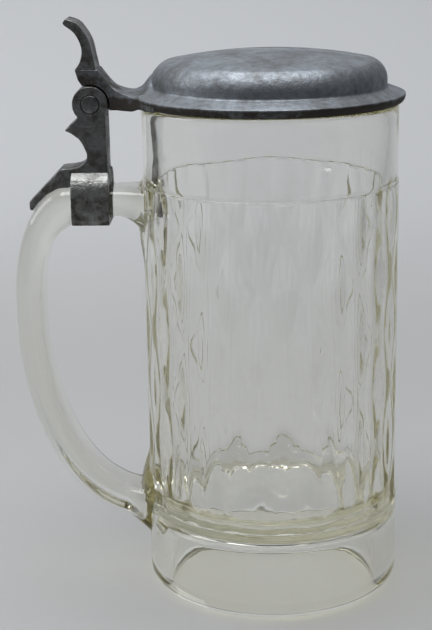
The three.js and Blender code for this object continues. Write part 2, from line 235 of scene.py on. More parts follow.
def turned(profile, count):
    """A profile of radius and height turned round the Z axis: x is the radius times the angle's cosine, and y
    the radius times its sine."""
    angle = np.linspace(0, 2 * np.pi, count, endpoint=False)
    radius, height = profile[:, :1], profile[:, 1:]
    return np.stack([radius * np.cos(angle), radius * np.sin(angle), height + 0 * angle], -1)


def round_the_pin(profile):
    """A profile of radius and height turned round the hinge pin, with its height along Y."""
    x, y, z = np.moveaxis(turned(profile, 64), -1, 0)
    return np.stack([x + PIN_X, -z, y + PIN_Z], -1)


def superellipse(value):
    """A sine or cosine bent so that the pair of them goes round a superellipse of the third power."""
    return np.sign(value) * np.abs(value) ** (2 / 3)


def facet_phase(size, height):
    """Place of each height along each column's chain of hollows, counted in hollows. Every other column is
    moved by half of one."""
    tip = size.body_height - size.rim_band - FIRST_TIP
    column = np.arange(size.facet_columns)
    return ((height[:, None] - tip) / size.facet_length + (column[None, :] % 2) / 2)[:, :, None]


def facet_hollow(size, phase, side, pitch):
    """Depth of the pressed hollows at a distance to one side of a column's middle.

    Each hollow's depth is facet_depth times a sum: a squared sine along the chain, plus the channel that
    joins the hollows at their tips, less the square of the distance over the half width. This hollow, the
    next column's and the plain ground run into each other as the logarithm of the sum of their
    exponentials, which rounds the ridges between them.
    """
    widest, ridge = size.facet_width / 2, 0.00015

    def cut(turn, apart):
        return size.facet_depth * (np.sin(np.pi * turn) ** 2 + FACET_CHANNEL - (apart / widest) ** 2)

    own = np.exp(cut(phase, side) / ridge)
    beside = np.exp(cut(phase + 0.5, 2 * pitch - np.abs(side)) / ridge)
    return ridge * np.log(1 + own + beside)


def leaf_bump(low, high, reach, half, across, height):
    """Height of a pointed leaf of glass over the body.

    Its outline is the sine of half a turn times the share of its length to the power 1.5, so that it is
    widest above its middle and its lower tip is long. Its height is that sine to the power 1.4, times a
    rounded ridge across it.
    """
    share = np.sin(np.pi * np.clip((height - low) / (high - low), 0, 1) ** 1.5)
    ridge = np.clip(1 - (across / np.maximum(1e-6, half * share)) ** 2, 0, 1)
    return reach * share**1.4 * ridge**0.8


def body_profile(size):
    """Half section of the glass body in four runs.

    The first goes from the middle of the hollow under the foot out along its roof, down its wall, round the
    heel and up to the lower ledge. The second is the faceted zone, the third goes over the rim, and the
    fourth down the bore to the middle of the floor.
    """
    base, outer, top = size.foot_radius, size.body_radius, size.body_height
    ground = base - FACET_SINK
    low, high = size.foot_band, top - size.rim_band
    heel, lip, edge = 0.006, 0.0013, 0.0005
    bore = outer - size.rim_wall
    bottom, corner = bore - 0.001, 0.009
    # the hollow's roof, the bend to its wall, the wall's draft, and the width and height of its rounded toe
    roof, bend, draft, toe, ease = size.hollow_height, 0.0035, 0.0007, 0.0007, 0.003
    wall_top = size.hollow_radius - draft
    flat = np.linspace(0, wall_top - bend, 9)[:-1]
    wall_share = np.linspace(0, 1, 12)[1:]
    foot = np.concatenate(
        [
            np.stack([flat, np.full(8, roof)], 1),
            arc((wall_top - bend, roof - bend), bend, np.pi / 2, 0, 8),
            np.stack([wall_top + draft * wall_share, roof - bend + (ease - roof + bend) * wall_share], 1),
            [(size.hollow_radius + 0.25 * toe, 0.0012), (size.hollow_radius + 0.55 * toe, 0.0004)],
            [(size.hollow_radius + toe, 0.0)],
            arc((base - heel, heel), heel, -np.pi / 2, 0, 10),
            np.stack([np.full(17, base), np.linspace(heel, low - edge, 18)[1:]], 1),
            [(base - 0.00006, low - 0.00018), (ground + 0.00006, low - 0.00006)],
        ]
    )
    levels = np.linspace(low, high, 1 + round((high - low) / (size.facet_length / 32)))
    facets = np.stack([np.full(len(levels), ground), levels], 1)
    rim = np.concatenate(
        [
            [(ground - 0.00005, high + 0.00012), (ground - 0.00018, high + 0.0002)],
            [(outer + 0.00008, high + 0.00028)],
            np.stack([np.full(18, outer), np.linspace(high + edge, top - lip, 19)[:-1]], 1),
            arc((outer - lip, top - lip), lip, 0, np.pi / 2, 6),
            arc((bore + lip, top - lip), lip, np.pi / 2, np.pi, 6)[1:],
        ]
    )
    slope = np.linspace(0, 1, 46)[1:]
    fall = size.floor_thickness + corner - top + lip
    wall = np.stack([bore + (bottom - bore) * slope, top - lip + fall * slope], 1)
    turn = arc((bottom - corner, size.floor_thickness + corner), corner, 0, -np.pi / 2, 12)[1:]
    floor = np.stack([np.linspace(bottom - corner, 0, 9)[1:], np.full(8, size.floor_thickness)], 1)
    # the floor sinks a little towards its middle
    floor[:, 1] -= 0.0006 * (1 - floor[:, 0] / (bottom - corner)) ** 2
    return foot, facets, rim, np.concatenate([wall, turn, floor])


def body_rows(size):
    """The glass body as rings: body_profile turned round the axis, less the facets' hollows and with the
    leaves of the handle's roots.

    Grid lines follow the hollows' edges in and near the faceted zone and are evenly spaced elsewhere. The
    bore has two shallow waves in its radius, sines of the angle and the height.
    """
    runs = body_profile(size)
    profile = np.concatenate(runs)
    run = np.repeat(range(4), [len(part) for part in runs])[:, None, None]
    faceted, inside = run == 1, run == 3
    radius, height = profile[:, 0, None, None], profile[:, 1, None, None]
    low, high = size.foot_band, size.body_height - size.rim_band
    ground = size.foot_radius - FACET_SINK

    # half widths of the hollows, clear of the next column's grid lines, with a line on each side of the edge
    phase = facet_phase(size, np.clip(profile[:, 1], low, high))
    pitch = np.pi * ground / size.facet_columns
    half = size.facet_width / 2 * np.sqrt(np.sin(np.pi * phase) ** 2 + FACET_CHANNEL)
    half = np.minimum(half, pitch - 0.0007)
    inner = np.maximum(half - 0.0004, 0.7 * half)
    outer = half + 0.00035
    lines = [0 * half - pitch, -outer, -half, -inner, -0.45 * half, 0 * half, 0.45 * half, inner, half, outer]
    even = pitch * (np.arange(len(lines)) / 5 - 1)
    away, fade = np.maximum(low - height, height - high), 0.012
    follow = np.where(inside, 0, 1 - np.clip(away / fade, 0, 1))
    side = np.concatenate(lines, 2) * follow + even * (1 - follow)
    number = np.arange(size.facet_columns)[None, :, None]
    angle = (number + 0.5) * 2 * np.pi / size.facet_columns + side / ground

    across = ground * np.sin(angle)
    upper, lower = (leaf_bump(*leaf, across, height) for leaf in HANDLE_LEAVES)
    bump = np.maximum(upper, lower) * (np.cos(angle) < 0) * ~inside
    # the hollows run out under the leaves
    hollow = facet_hollow(size, phase, side, pitch) * faceted * np.clip(1 - bump / 0.0006, 0, 1)
    wave = 0.00007 * np.sin(5 * angle + 90 * height) + 0.00005 * np.sin(9 * angle - 140 * height + 1.3)
    radius = radius - hollow + bump + wave * inside * (radius > 0.02)
    rows = np.stack([radius * np.cos(angle), radius * np.sin(angle), height + 0 * angle], -1)
    return rows.reshape(len(profile), -1, 3)


def handle_rows(size):
    """The handle as closed sections carried along its middle line: straight out, a quarter ellipse round the
    shoulder, and a cubic Bezier curve down the grip to the lower root.

    Each section is a superellipse of the third power, whose half heights outwards and inwards and whose
    half width grow with the square of the nearness to the body, and the underside of the shoulder swells
    as a squared sine.
    """
    # where the straight part ends, and the height of the quarter ellipse
    reach, bend = size.handle_reach, 0.0665
    level, drop = HANDLE_LEVEL, 0.033
    inner_end = -(size.body_radius - size.rim_wall + 0.0012)
    first = np.linspace(0, 1, 26)
    second = np.linspace(0, 1, 42)[1:]
    third = np.linspace(0, 1, 80)[1:]
    line = np.stack([inner_end + (-bend - inner_end) * first, level + 0 * first], 1)
    line_way = np.stack([-1 + 0 * first, 0 * first], 1)
    turn = np.pi / 2 * (1 + second)
    wide = reach - bend
    shoulder = np.stack([-bend + wide * np.cos(turn), level - drop + drop * np.sin(turn)], 1)
    shoulder_way = np.stack([-wide * np.sin(turn), drop * np.cos(turn)], 1)
    grip = level - drop
    bezier = ((-reach, grip), (-reach - 0.0012, grip - 0.0409), (-0.0663, 0.0265), (inner_end, 0.0285))
    a, b, c, d = (np.array(point) for point in bezier)
    t = third[:, None]
    sweep = a * (1 - t) ** 3 + 3 * b * t * (1 - t) ** 2 + 3 * c * t**2 * (1 - t) + d * t**3
    sweep_way = 3 * ((b - a) * (1 - t) ** 2 + 2 * (c - b) * t * (1 - t) + (d - c) * t**2)
    place = np.concatenate([line, shoulder, sweep])
    way = np.concatenate([line_way, shoulder_way, sweep_way])
    way = way / np.linalg.norm(way, axis=1, keepdims=True)
    part = np.repeat([0, 1, 2], [len(first), len(second), len(third)])
    along = np.concatenate([first, second, third])

    # half thickness along the three parts, and the flare over the last 9 mm before the body
    half = np.choose(part, [0.0104 + 0 * along, 0.0104 - 0.0006 * along, 0.0098 + 0.0016 * along]) / 2
    near = np.clip(1 - (-place[:, 0] - (size.body_radius - 0.0004)) / 0.009, 0, 1)
    flare = near**2
    # the swelling under the shoulder starts on the straight part and ends two thirds round the ellipse
    lead = 0.22 * (1 - (place[:, 0] + bend) / 0.0065)
    swell = np.choose(part, [lead, 0.22 + 0.78 * along / 0.67, 1 + 0 * along])
    palm = 0.0027 * np.sin(np.pi * np.clip(swell, 0, 1)) ** 2
    outer = half + 0.0065 * flare * (part == 2)
    inner = half + 0.006 * flare * (part == 0) + palm
    side = size.handle_width / 2 + 0.0018 * flare

    angle = np.linspace(0, 2 * np.pi, 56, endpoint=False)
    across = side[:, None] * superellipse(np.cos(angle))
    out = np.where(np.sin(angle) > 0, outer[:, None], inner[:, None]) * superellipse(np.sin(angle))
    rows = np.stack([place[:, :1] + out * way[:, 1:], across, place[:, 1:] - out * way[:, :1]], -1)
    ends = [np.repeat(rows[k].mean(0)[None, None], rows.shape[1], 1) for k in (0, -1)]
    return np.concatenate([ends[0], rows, ends[1]])


def combined(piece, operation, other):
    """Both closed skins as one, without the walls inside, or the first less the other."""
    sliver = 0.000001
    step = piece.modifiers.new("Combine", "BOOLEAN")
    step.operation = operation
    step.solver = "EXACT"
    step.object = other
    settle(piece)
    bpy.data.objects.remove(other)
    # a cut leaves faces with corners in line, which would split into triangles without area
    mesh = bmesh.new()
    mesh.from_mesh(piece.data)
    bmesh.ops.dissolve_degenerate(mesh, dist=sliver, edges=mesh.edges)
    many_sided = [face for face in mesh.faces if len(face.verts) > 4]
    bmesh.ops.triangulate(mesh, faces=many_sided, ngon_method="BEAUTY")
    bmesh.ops.dissolve_degenerate(mesh, dist=sliver, edges=mesh.edges)
    mesh.to_mesh(piece.data)
    mesh.free()
    return piece


def settle(piece):
    """Applies the piece's modifiers to its mesh."""
    graph = bpy.context.evaluated_depsgraph_get()
    graph.update()
    mesh = bpy.data.meshes.new_from_object(piece.evaluated_get(graph))
    piece.modifiers.clear()
    old = piece.data
    piece.data = mesh
    bpy.data.meshes.remove(old)
    return piece


def lid_profile(size):
    """Half section of the lid from the middle of the hollow out along its roof, down the wall, out under the
    flange, round its edge and up the dome to the crown.

    The dome's shoulder is an arc, and its crown a parabola from the arc's end.
    """
    under = LID_UNDER
    hem, side, corner = 0.0018, 0.0024, 0.0004
    shoulder, shoulder_turn, wall, foot = 0.007, 1.15, 0.0017, 0.0009
    flat = size.dome_radius - shoulder
    top = under + size.dome_height
    shoulder_z = top - 0.0028 - shoulder
    flange_top = under + 0.0048

    def crown(bend, height):
        radius = flat + bend * math.cos(shoulder_turn)
        start = shoulder_z + bend * math.sin(shoulder_turn)
        share = np.linspace(1, 0, 22)[1:]
        return np.stack([radius * share, height - (height - start) * share**2], 1)

    inside = [arc((flat, shoulder_z), shoulder - wall, 0, shoulder_turn, 9), crown(shoulder - wall, top - wall)]
    inside = np.concatenate(inside)[::-1]
    mouth_radius = size.dome_radius - wall
    mouth = [(mouth_radius, under + 0.003), (mouth_radius, under + 0.0004), (mouth_radius + 0.0003, under)]
    seat = np.stack([np.linspace(size.dome_radius, size.flange_radius - hem - 0.0005, 5), np.full(5, under)], 1)
    turn = arc((0, 1), 1, -np.pi / 2, 0, 10) * (hem, side) + (size.flange_radius - hem, under)
    lip = arc((size.flange_radius - corner, under + side + 0.0002), corner, 0, 1.25, 6)
    root_middle = (size.dome_radius + foot, flange_top + foot)
    slope = np.linspace(lip[-1], (root_middle[0], flange_top), 8)[1:]
    root = arc(root_middle, foot, -np.pi / 2, -np.pi, 6)[1:]
    shoulder_line = arc((flat, shoulder_z), shoulder, 0, shoulder_turn, 14)
    return np.concatenate([inside, mouth, seat, turn, lip, slope, root, shoulder_line, crown(shoulder, top)])


def dented(rows):
    """The lid's rings with every dent taken off the dome's height, as a bell curve of the distance from the
    dent's middle."""
    angle = 2 * np.pi * LID_DENTS[:, 0]
    centre = LID_DENTS[:, 1:2] * np.stack([np.cos(angle), np.sin(angle)], 1)
    apart = np.linalg.norm(rows[..., None, :2] - centre, axis=-1)
    dent = (LID_DENTS[:, 3] * np.exp(-((2 * apart / LID_DENTS[:, 2]) ** 2))).sum(-1)
    on_dome = rows[..., 2] > LID_UNDER + 0.006
    return rows - (dent * on_dome)[..., None] * (0, 0, 1)


def plate(name, rows):
    """Closed outlines carried along X, joined by quads and closed at both ends by flat faces."""
    count = rows.shape[1]
    ring = np.arange(len(rows) * count).reshape(-1, count)
    right = np.roll(ring, -1, axis=1)
    quads = np.stack([ring[:-1], right[:-1], right[1:], ring[1:]], -1).reshape(-1, 4)
    faces = quads.tolist() + [ring[0][::-1].tolist(), ring[-1].tolist()]
    return new_object(name, rows.reshape(-1, 3), faces)


def strap_rows(wear):
    """The strap's outline carried along the handle, with both ends worn round: it steps in as a quarter circle
    of the wear radius."""
    half = smooth_curve(STRAP_HALF, 8)
    outline = np.concatenate([half[1:], half[::-1] * (-1, 1)])[:-1] * MM + (0, STRAP_LOW[2])
    step = np.roll(outline, -1, axis=0) - np.roll(outline, 1, axis=0)
    step = step / np.linalg.norm(step, axis=1, keepdims=True)
    inward = np.stack([-step[:, 1], step[:, 0]], 1)
    bend = np.linspace(0, np.pi / 2, 6)
    inset = wear * np.concatenate([1 - np.sin(bend), 1 - np.cos(bend)])
    x = np.concatenate([STRAP_LOW[0] + wear * (1 - np.cos(bend)), STRAP_HIGH[0] - wear * (1 - np.sin(bend))])
    flat = outline[None] + inward[None] * inset[:, None, None]
    return np.stack([np.broadcast_to(x[:, None], flat.shape[:2]), flat[..., 0], flat[..., 1]], -1)


def carried(name, outline):
    """A closed outline across the handle carried along X, past both ends of the strap."""
    past = 0.003
    x = np.array([STRAP_LOW[0] - past, STRAP_HIGH[0] + past])[:, None]
    rows = np.stack([np.broadcast_to(values, (2, len(outline))) for values in (x, *outline.T)], -1)
    return plate(name, rows)


def bored(piece, size, width):
    """The strap with the handle's superellipse and the shank's base taken out of it."""
    angle = np.linspace(0, 2 * np.pi, 64, endpoint=False)
    across = (size.handle_width / 2 + 0.0003) * superellipse(np.cos(angle))
    up = HANDLE_LEVEL + 0.0054 * superellipse(np.sin(angle))
    combined(piece, "DIFFERENCE", carried("Handle_Room", np.stack([across, up], 1)))
    half, low, high = width / 2 + 0.00004, 0.1380, 0.1600
    corners = np.array([(-half, low), (half, low), (half, high), (-half, high)])
    return combined(piece, "DIFFERENCE", carried("Base_Room", corners))


def eased(share):
    """A share from 0 to 1 whose slope is nought at both ends."""
    share = np.clip(share, 0, 1)
    return share * share * (3 - 2 * share)


def flare_rows(size):
    """The lid's arm where it widens into the flange and sweeps up on to the dome, in sections across it.

    Its half width follows a circle that touches both the arm's side and the flange's edge. Its top is the
    arm's own top along the middle and falls as a squared cosine to the flange's edge at the sides. Where it
    meets the dome, the two heights run into each other as the logarithm of the sum of their exponentials.
    """
    half, reach, root, lip = size.hinge_width / 2, size.flange_radius, 0.016, 0.0009
    # the sections begin inside the arm, at its full height, and end inside the dome
    x = np.linspace(PIN_X + 0.0067, -0.0364, 70)[:, None]
    middle_y = half + root
    middle_x = -math.sqrt((reach + root) ** 2 - middle_y**2)
    touch = middle_x * reach / (reach + root)
    fillet = middle_y - np.sqrt(np.maximum(root**2 - (x - middle_x) ** 2, 0))
    edge = np.where(x < touch, fillet, np.sqrt(np.maximum((reach - 0.0001) ** 2 - x**2, 0)))
    # the fillet starts softly over the first 4 mm
    edge = half + (edge - half) * eased((x - x[0]) / 0.004)
    y = edge * np.linspace(-1, 1, 81)
    away = np.hypot(x, y)

    line = smooth_curve(ARM_TOP, 8) * MM + (PIN_X, PIN_Z)
    arm = np.interp(x, line[:, 0], line[:, 1])
    # at the sides the top falls from the arm's to the brim's, and over the flange it keeps the flange's slope
    brim = LID_UNDER + 0.003
    side = arm + (brim - arm) * eased((x + 0.0505) / 0.009)
    rise = 0.0019 / (reach - lip - 0.0395)
    flange = brim + rise * (reach - lip - away) - 0.00012
    low = np.maximum(side, flange)
    near = np.cos(np.pi / 2 * np.clip(np.abs(y) / np.minimum(edge, 0.0115), 0, 1)) ** 2
    top = low + (arm - low) * near
    # the dome's shoulder, and the blend with it, which is softest along the middle
    shoulder, bend = LID_UNDER + size.dome_height - 0.0098, 0.007
    dome = shoulder + np.sqrt(np.maximum(bend**2 - (away - size.dome_radius + bend) ** 2, 0))
    dome = dome - 8 * np.maximum(away - size.dome_radius + 0.0002, 0)
    soft = 0.001 * (0.06 + 0.94 * near)
    blend = top + soft * np.logaddexp(0, (dome - top) / soft)
    blend = blend - 0.00016 * np.clip((dome - top) / 0.0015, 0, 1)
    # the underside lies on the flange's and drops to the arm's beyond it
    under = LID_UNDER + 0.00002 - 0.00165 * eased((away - 0.0434) / 0.003)
    across = np.concatenate([y, y[:, ::-1]], 1)
    rows = np.stack([x + 0 * across, across, np.concatenate([under, blend[:, ::-1]], 1)], -1)
    ends = [np.repeat(rows[k].mean(0)[None, None], rows.shape[1], 1) for k in (0, -1)]
    return np.concatenate([ends[0], rows, ends[1]])


def pin_profile(size):
    """Half section of the riveted pin: a low domed head as a parabola, a rounded rim and a straight shaft, the
    same at both ends."""
    radius, reach = size.pin_radius, size.hinge_width / 2
    share = np.linspace(0, 0.86, 8)
    head = np.stack([radius * share, reach + 0.00035 * (1 - 0.8 * share**2)], 1)
    rim = [(0.94 * radius, reach + 0.00008), (0.985 * radius, reach + 0.00002), (radius, reach - 0.0001)]
    upper = np.concatenate([head, rim])
    return np.concatenate([upper * (1, -1), upper[::-1]])


def grooved(shank, size):
    """The shank with a shallow ring cut into each cheek round the pin's head."""
    radius, depth, past = size.pin_radius + 0.0003, 0.0004, 0.001
    for side in (-1, 1):
        ends = side * size.hinge_width / 2 + np.array([-depth, -depth, past, past])
        cutter = np.stack([(0, radius, radius, 0), ends], 1)
        combined(shank, "DIFFERENCE", skin("Groove", round_the_pin(cutter)[::side]))
    shank.data.shade_smooth()
    return shank


def trimmed(piece, end, other):
    """A piece cut off square to X at its end, closed there, and joined by another that overlaps it."""
    mesh = bmesh.new()
    mesh.from_mesh(piece.data)
    bmesh.ops.remove_doubles(mesh, verts=mesh.verts, dist=MERGE)
    parts = [*mesh.verts, *mesh.edges, *mesh.faces]
    bmesh.ops.bisect_plane(mesh, geom=parts, plane_co=(end, 0, 0), plane_no=(1, 0, 0), clear_outer=True)
    bmesh.ops.holes_fill(mesh, edges=[edge for edge in mesh.edges if edge.is_boundary])
    mesh.from_mesh(other.data)
    mesh.to_mesh(piece.data)
    mesh.free()
    bpy.data.objects.remove(other)
    return piece


def worn_copy(name, node, cell, rounds, end=0, added=None):
    """A merged copy of a CAD piece whose edges are all worn round.

    It is trimmed and joined by another piece if one is given, and rebuilt in even cells, whose points then
    move towards the mean of their neighbours.
    """
    piece = bpy.data.objects.new(name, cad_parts[node].data.copy())
    bpy.context.scene.collection.objects.link(piece)
    if added:
        trimmed(piece, end, added)
    weld = piece.modifiers.new("Merge", "WELD")
    weld.merge_threshold = MERGE
    cells = piece.modifiers.new("Cells", "REMESH")
    cells.mode = "VOXEL"
    cells.voxel_size = cell
    wear = piece.modifiers.new("Wear", "SMOOTH")
    wear.factor = 0.5
    wear.iterations = rounds
    settle(piece)
    piece.data.shade_smooth()
    return piece


# Materials


def add_node(tree, kind, inputs=None, **settings):
    """A node of a kind with its settings. Its inputs are given numbers, colours or the sockets that feed
    them."""
    node = tree.nodes.new(kind)
    for key, value in settings.items():
        setattr(node, key, value)
    for key, value in (inputs or {}).items():
        if isinstance(value, bpy.types.NodeSocket):
            tree.links.new(value, node.inputs[key])
        else:
            node.inputs[key].default_value = value
    return node


def new_material(name):
    """A node material without nodes, and its tree."""
    material = bpy.data.materials.new(name)
    material.use_nodes = True
    material.node_tree.nodes.clear()
    return material, material.node_tree


def pressed_glass(finishes):
    """Soda-lime glass pressed in an iron mould and fire polished.

    It is clear, with faint ripples from the mould and a few duller patches, and greenish yellow where it is
    thick.
    """
    material, tree = new_material("Pressed soda-lime glass")
    place = add_node(tree, "ShaderNodeTexCoord").outputs["Object"]
    # mould ripples about 9 mm across, and the finer chill marks about 2 mm across
    ripple = add_node(tree, "ShaderNodeTexNoise", {"Vector": place, "Scale": 110.0, "Detail": 1.0})
    chill = add_node(tree, "ShaderNodeTexNoise", {"Vector": place, "Scale": 480.0, "Detail": 2.0})
    both = add_node(
        tree,
        "ShaderNodeMath",
        {0: chill.outputs["Fac"], 1: 0.18, 2: ripple.outputs["Fac"]},
        operation="MULTIPLY_ADD",
    )
    bump = add_node(tree, "ShaderNodeBump", {"Strength": 1.0, "Distance": 0.00003, "Height": both.outputs[0]})
    smear = add_node(
        tree,
        "ShaderNodeMapRange",
        {"Value": ripple.outputs["Fac"], "From Min": 0.35, "From Max": 0.75, "To Min": 0.0, "To Max": 0.03},
    )
    glass = add_node(
        tree,
        "ShaderNodeBsdfPrincipled",
        {
            "Base Color": (1.0, 1.0, 1.0, 1.0),
            "Roughness": smear.outputs["Result"],
            "IOR": 1.52,
            "Transmission Weight": 1.0,
            "Normal": bump.outputs["Normal"],
        },
    )
    # shadow rays pass straight through, so that the floor under the glass stays light
    clear = add_node(tree, "ShaderNodeBsdfTransparent", {"Color": (0.986, 0.987, 0.984, 1.0)})
    rays = add_node(tree, "ShaderNodeLightPath")
    surfaces = {0: rays.outputs["Is Shadow Ray"], 1: glass.outputs[0], 2: clear.outputs[0]}
    shown = add_node(tree, "ShaderNodeMixShader", surfaces)
    depth = add_node(tree, "ShaderNodeVolumeAbsorption", {"Color": tuple(finishes.glass_tint), "Density": 13.0})
    add_node(tree, "ShaderNodeOutputMaterial", {"Surface": shown.outputs[0], "Volume": depth.outputs[0]})
    return material


def old_pewter(name, grey, tarnish_and_shade, dull, patch, marks, cover, tooth, shade_bands=()):
    """Cast or spun pewter, a tin alloy, gone dull with age.

    Broad patches are rubbed lighter, fine specks and pits are darker, hair scratches run across it, and
    the roughness follows the film. dull is the roughness, patch the scale of the rubbed patches, cover the
    film's greatest share, marks how much of it the scratches take off, and tooth the depth of the relief in
    metres. The shade bands are painted shade: the dark colour laid on one end or side of a piece where less
    light falls, each given as an axis, the place along it where the band starts, the place where it is whole,
    and its share.
    """
    material, tree = new_material(name)
    place = add_node(tree, "ShaderNodeTexCoord").outputs["Object"]
    # rubbed patches about 1/patch metres across, mottling about 2 mm, pits about 0.5 mm
    patches = add_node(
        tree,
        "ShaderNodeTexNoise",
        {"Vector": place, "Scale": patch, "Detail": 4.0, "Roughness": 0.6, "Distortion": 0.6},
    )
    coarse = {"Vector": place, "Scale": 520.0, "Detail": 5.0, "Roughness": 0.65}
    mottle = add_node(tree, "ShaderNodeTexNoise", coarse)
    pits = add_node(tree, "ShaderNodeTexNoise", {"Vector": place, "Scale": 1900.0, "Detail": 2.0})
    # hair scratches: noise about 11 mm long, drawn out 14 times thinner, so that they show in the render
    slant = {"Vector": place, "Rotation": (0.4, 0.9, 0.7), "Scale": (1.0, 14.0, 14.0)}
    stretch = add_node(tree, "ShaderNodeMapping", slant)
    hairs = {"Vector": stretch.outputs[0], "Scale": 90.0, "Detail": 3.0, "Roughness": 0.7}
    scratch = add_node(tree, "ShaderNodeTexNoise", hairs)
    blend = add_node(
        tree,
        "ShaderNodeMath",
        {0: mottle.outputs["Fac"], 1: 0.55, 2: patches.outputs["Fac"]},
        operation="MULTIPLY_ADD",
    )
    film = add_node(
        tree,
        "ShaderNodeMapRange",
        {"Value": blend.outputs[0], "From Min": 0.62, "From Max": 0.98, "To Min": cover, "To Max": 0.0},
    )
    hair = add_node(
        tree,
        "ShaderNodeMapRange",
        {"Value": scratch.outputs["Fac"], "From Min": 0.64, "From Max": 0.72, "To Min": 0.0, "To Max": marks},
    )
    film_and_shade = add_node(
        tree,
        "ShaderNodeMath",
        {0: film.outputs["Result"], 1: hair.outputs["Result"]},
        operation="SUBTRACT",
        use_clamp=True,
    )
    # painted shade: each band darkens one end or side of the piece along an axis
    for axis, start, whole, share in shade_bands:
        parts = add_node(tree, "ShaderNodeSeparateXYZ", {"Vector": place})
        shade_band = add_node(
            tree,
            "ShaderNodeMapRange",
            {"Value": parts.outputs[axis], "From Min": start, "From Max": whole, "To Max": share},
        )
        film_and_shade = add_node(
            tree,
            "ShaderNodeMath",
            {0: film_and_shade.outputs[0], 1: shade_band.outputs["Result"]},
            operation="ADD",
            use_clamp=True,
        )
    # the dark colour goes on where there is film and, as painted shade, along the shade bands
    colour = add_node(
        tree,
        "ShaderNodeMix",
        {"Factor": film_and_shade.outputs[0], "A": tuple(grey), "B": tuple(tarnish_and_shade)},
        data_type="RGBA",
    )
    # clean metal is smoother than the film
    shine = {"Value": film_and_shade.outputs[0], "To Min": dull - 0.1, "To Max": dull + 0.16}
    rough = add_node(tree, "ShaderNodeMapRange", shine)
    relief = add_node(
        tree,
        "ShaderNodeMath",
        {0: pits.outputs["Fac"], 1: 0.35, 2: mottle.outputs["Fac"]},
        operation="MULTIPLY_ADD",
    )
    bump = add_node(tree, "ShaderNodeBump", {"Strength": 1.0, "Distance": tooth, "Height": relief.outputs[0]})
    metal = add_node(
        tree,
        "ShaderNodeBsdfPrincipled",
        {
            "Base Color": colour.outputs["Result"],
            "Metallic": 1.0,
            "Roughness": rough.outputs["Result"],
            "Normal": bump.outputs["Normal"],
        },
    )
    add_node(tree, "ShaderNodeOutputMaterial", {"Surface": metal.outputs[0]})
    return material


def seamless_paper(finishes):
    """Matt graduated paper, grey under the object and painted paler where it goes up behind it, as painted
    light, with a fine even tooth and no shine."""
    material, tree = new_material("Seamless paper")
    place = add_node(tree, "ShaderNodeTexCoord").outputs["Object"]
    tooth = add_node(tree, "ShaderNodeTexNoise", {"Vector": place, "Scale": 900.0, "Detail": 3.0})
    relief = {"Strength": 0.2, "Distance": 0.0002, "Height": tooth.outputs["Fac"]}
    bump = add_node(tree, "ShaderNodeBump", relief)
    # painted light: the grey gets paler from 0.2 m behind the mug to the upright part
    parts = add_node(tree, "ShaderNodeSeparateXYZ", {"Vector": place})
    share = add_node(
        tree,
        "ShaderNodeMapRange",
        {"Value": parts.outputs["Y"], "From Min": 0.2, "From Max": 0.82},
        interpolation_type="SMOOTHSTEP",
    )
    greys = {"Factor": share.outputs["Result"], "A": tuple(finishes.floor_grey), "B": tuple(finishes.wall_grey_painted_light)}
    wash = add_node(tree, "ShaderNodeMix", greys, data_type="RGBA")
    matt = {"Base Color": wash.outputs["Result"], "Roughness": 0.9, "Normal": bump.outputs["Normal"]}
    paper = add_node(tree, "ShaderNodeBsdfPrincipled", matt)
    add_node(tree, "ShaderNodeOutputMaterial", {"Surface": paper.outputs[0]})
    return material


def dress(piece, material, node, body):
    """Gives a piece its finish, hides the CAD piece that it stands for, and puts it on the body that it moves
    with.
    """
    piece.data.materials.clear()
    piece.data.materials.append(material)
    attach(piece, body)
    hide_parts(node)


# Stage


def stand(name, data, right, up, back, place):
    """An object whose own axes and place are given, the place from the body's axis."""
    holder = bpy.data.objects.new(name, data)
    bpy.context.scene.collection.objects.link(holder)
    matrix = np.eye(4)
    matrix[:3] = np.stack([right, up, back, AXIS + place], 1)
    holder.matrix_world = matrix.T.tolist()
    return holder


def photo_camera():
    """The camera of the photo: its lens, its place, and its pitch down, roll and yaw in degrees."""
    lens = bpy.data.cameras.new("Camera")
    lens.lens, lens.sensor_width, lens.clip_start = 88.91, 36.0, 0.01
    pitch, roll, yaw = (math.radians(value) for value in (15.164, -0.923, -2.103))
    level = np.array([math.cos(yaw), -math.sin(yaw), 0])
    ahead = np.array([math.sin(yaw), math.cos(yaw), 0])
    up = np.array([0, 0, 1])
    look = math.cos(pitch) * ahead - math.sin(pitch) * up
    rise = math.sin(pitch) * ahead + math.cos(pitch) * up
    right = math.cos(roll) * level + math.sin(roll) * rise
    above = math.cos(roll) * rise - math.sin(roll) * level
    return stand("Camera", lens, right, above, -look, (0, -0.51421, 0.23388))


def cove_sheet(near, back, bend, high, wide):
    """The floor from its near edge to a quarter circle that turns up into the backdrop, just under the mug."""
    gap = 0.0003
    profile = np.concatenate([[(near, 0.0)], arc((back - bend, bend), bend, -np.pi / 2, 0, 24), [(back, high)]])
    profile = np.repeat(profile - (0, gap), 2, axis=0)
    sides = np.tile([-wide, wide], len(profile) // 2)
    low = np.arange(0, len(profile) - 2, 2)
    faces = np.stack([low, low + 1, low + 3, low + 2], 1).tolist()
    return new_object("Cove", np.column_stack([sides, profile]), faces)


def softbox(name, place, power, width, depth):
    """A rectangular lamp at a place from the body's axis that points at the middle of the mug."""
    lamp = bpy.data.lights.new(name, "AREA")
    lamp.shape = "RECTANGLE"
    lamp.size, lamp.size_y, lamp.energy = width, depth, power
    aim = (0, 0, 0.1)
    back = np.subtract(place, aim)
    back = back / np.linalg.norm(back)
    across = np.cross((0, 1, 0), back)
    across = across / np.linalg.norm(across)
    stand(name, lamp, across, np.cross(back, across), back, place)


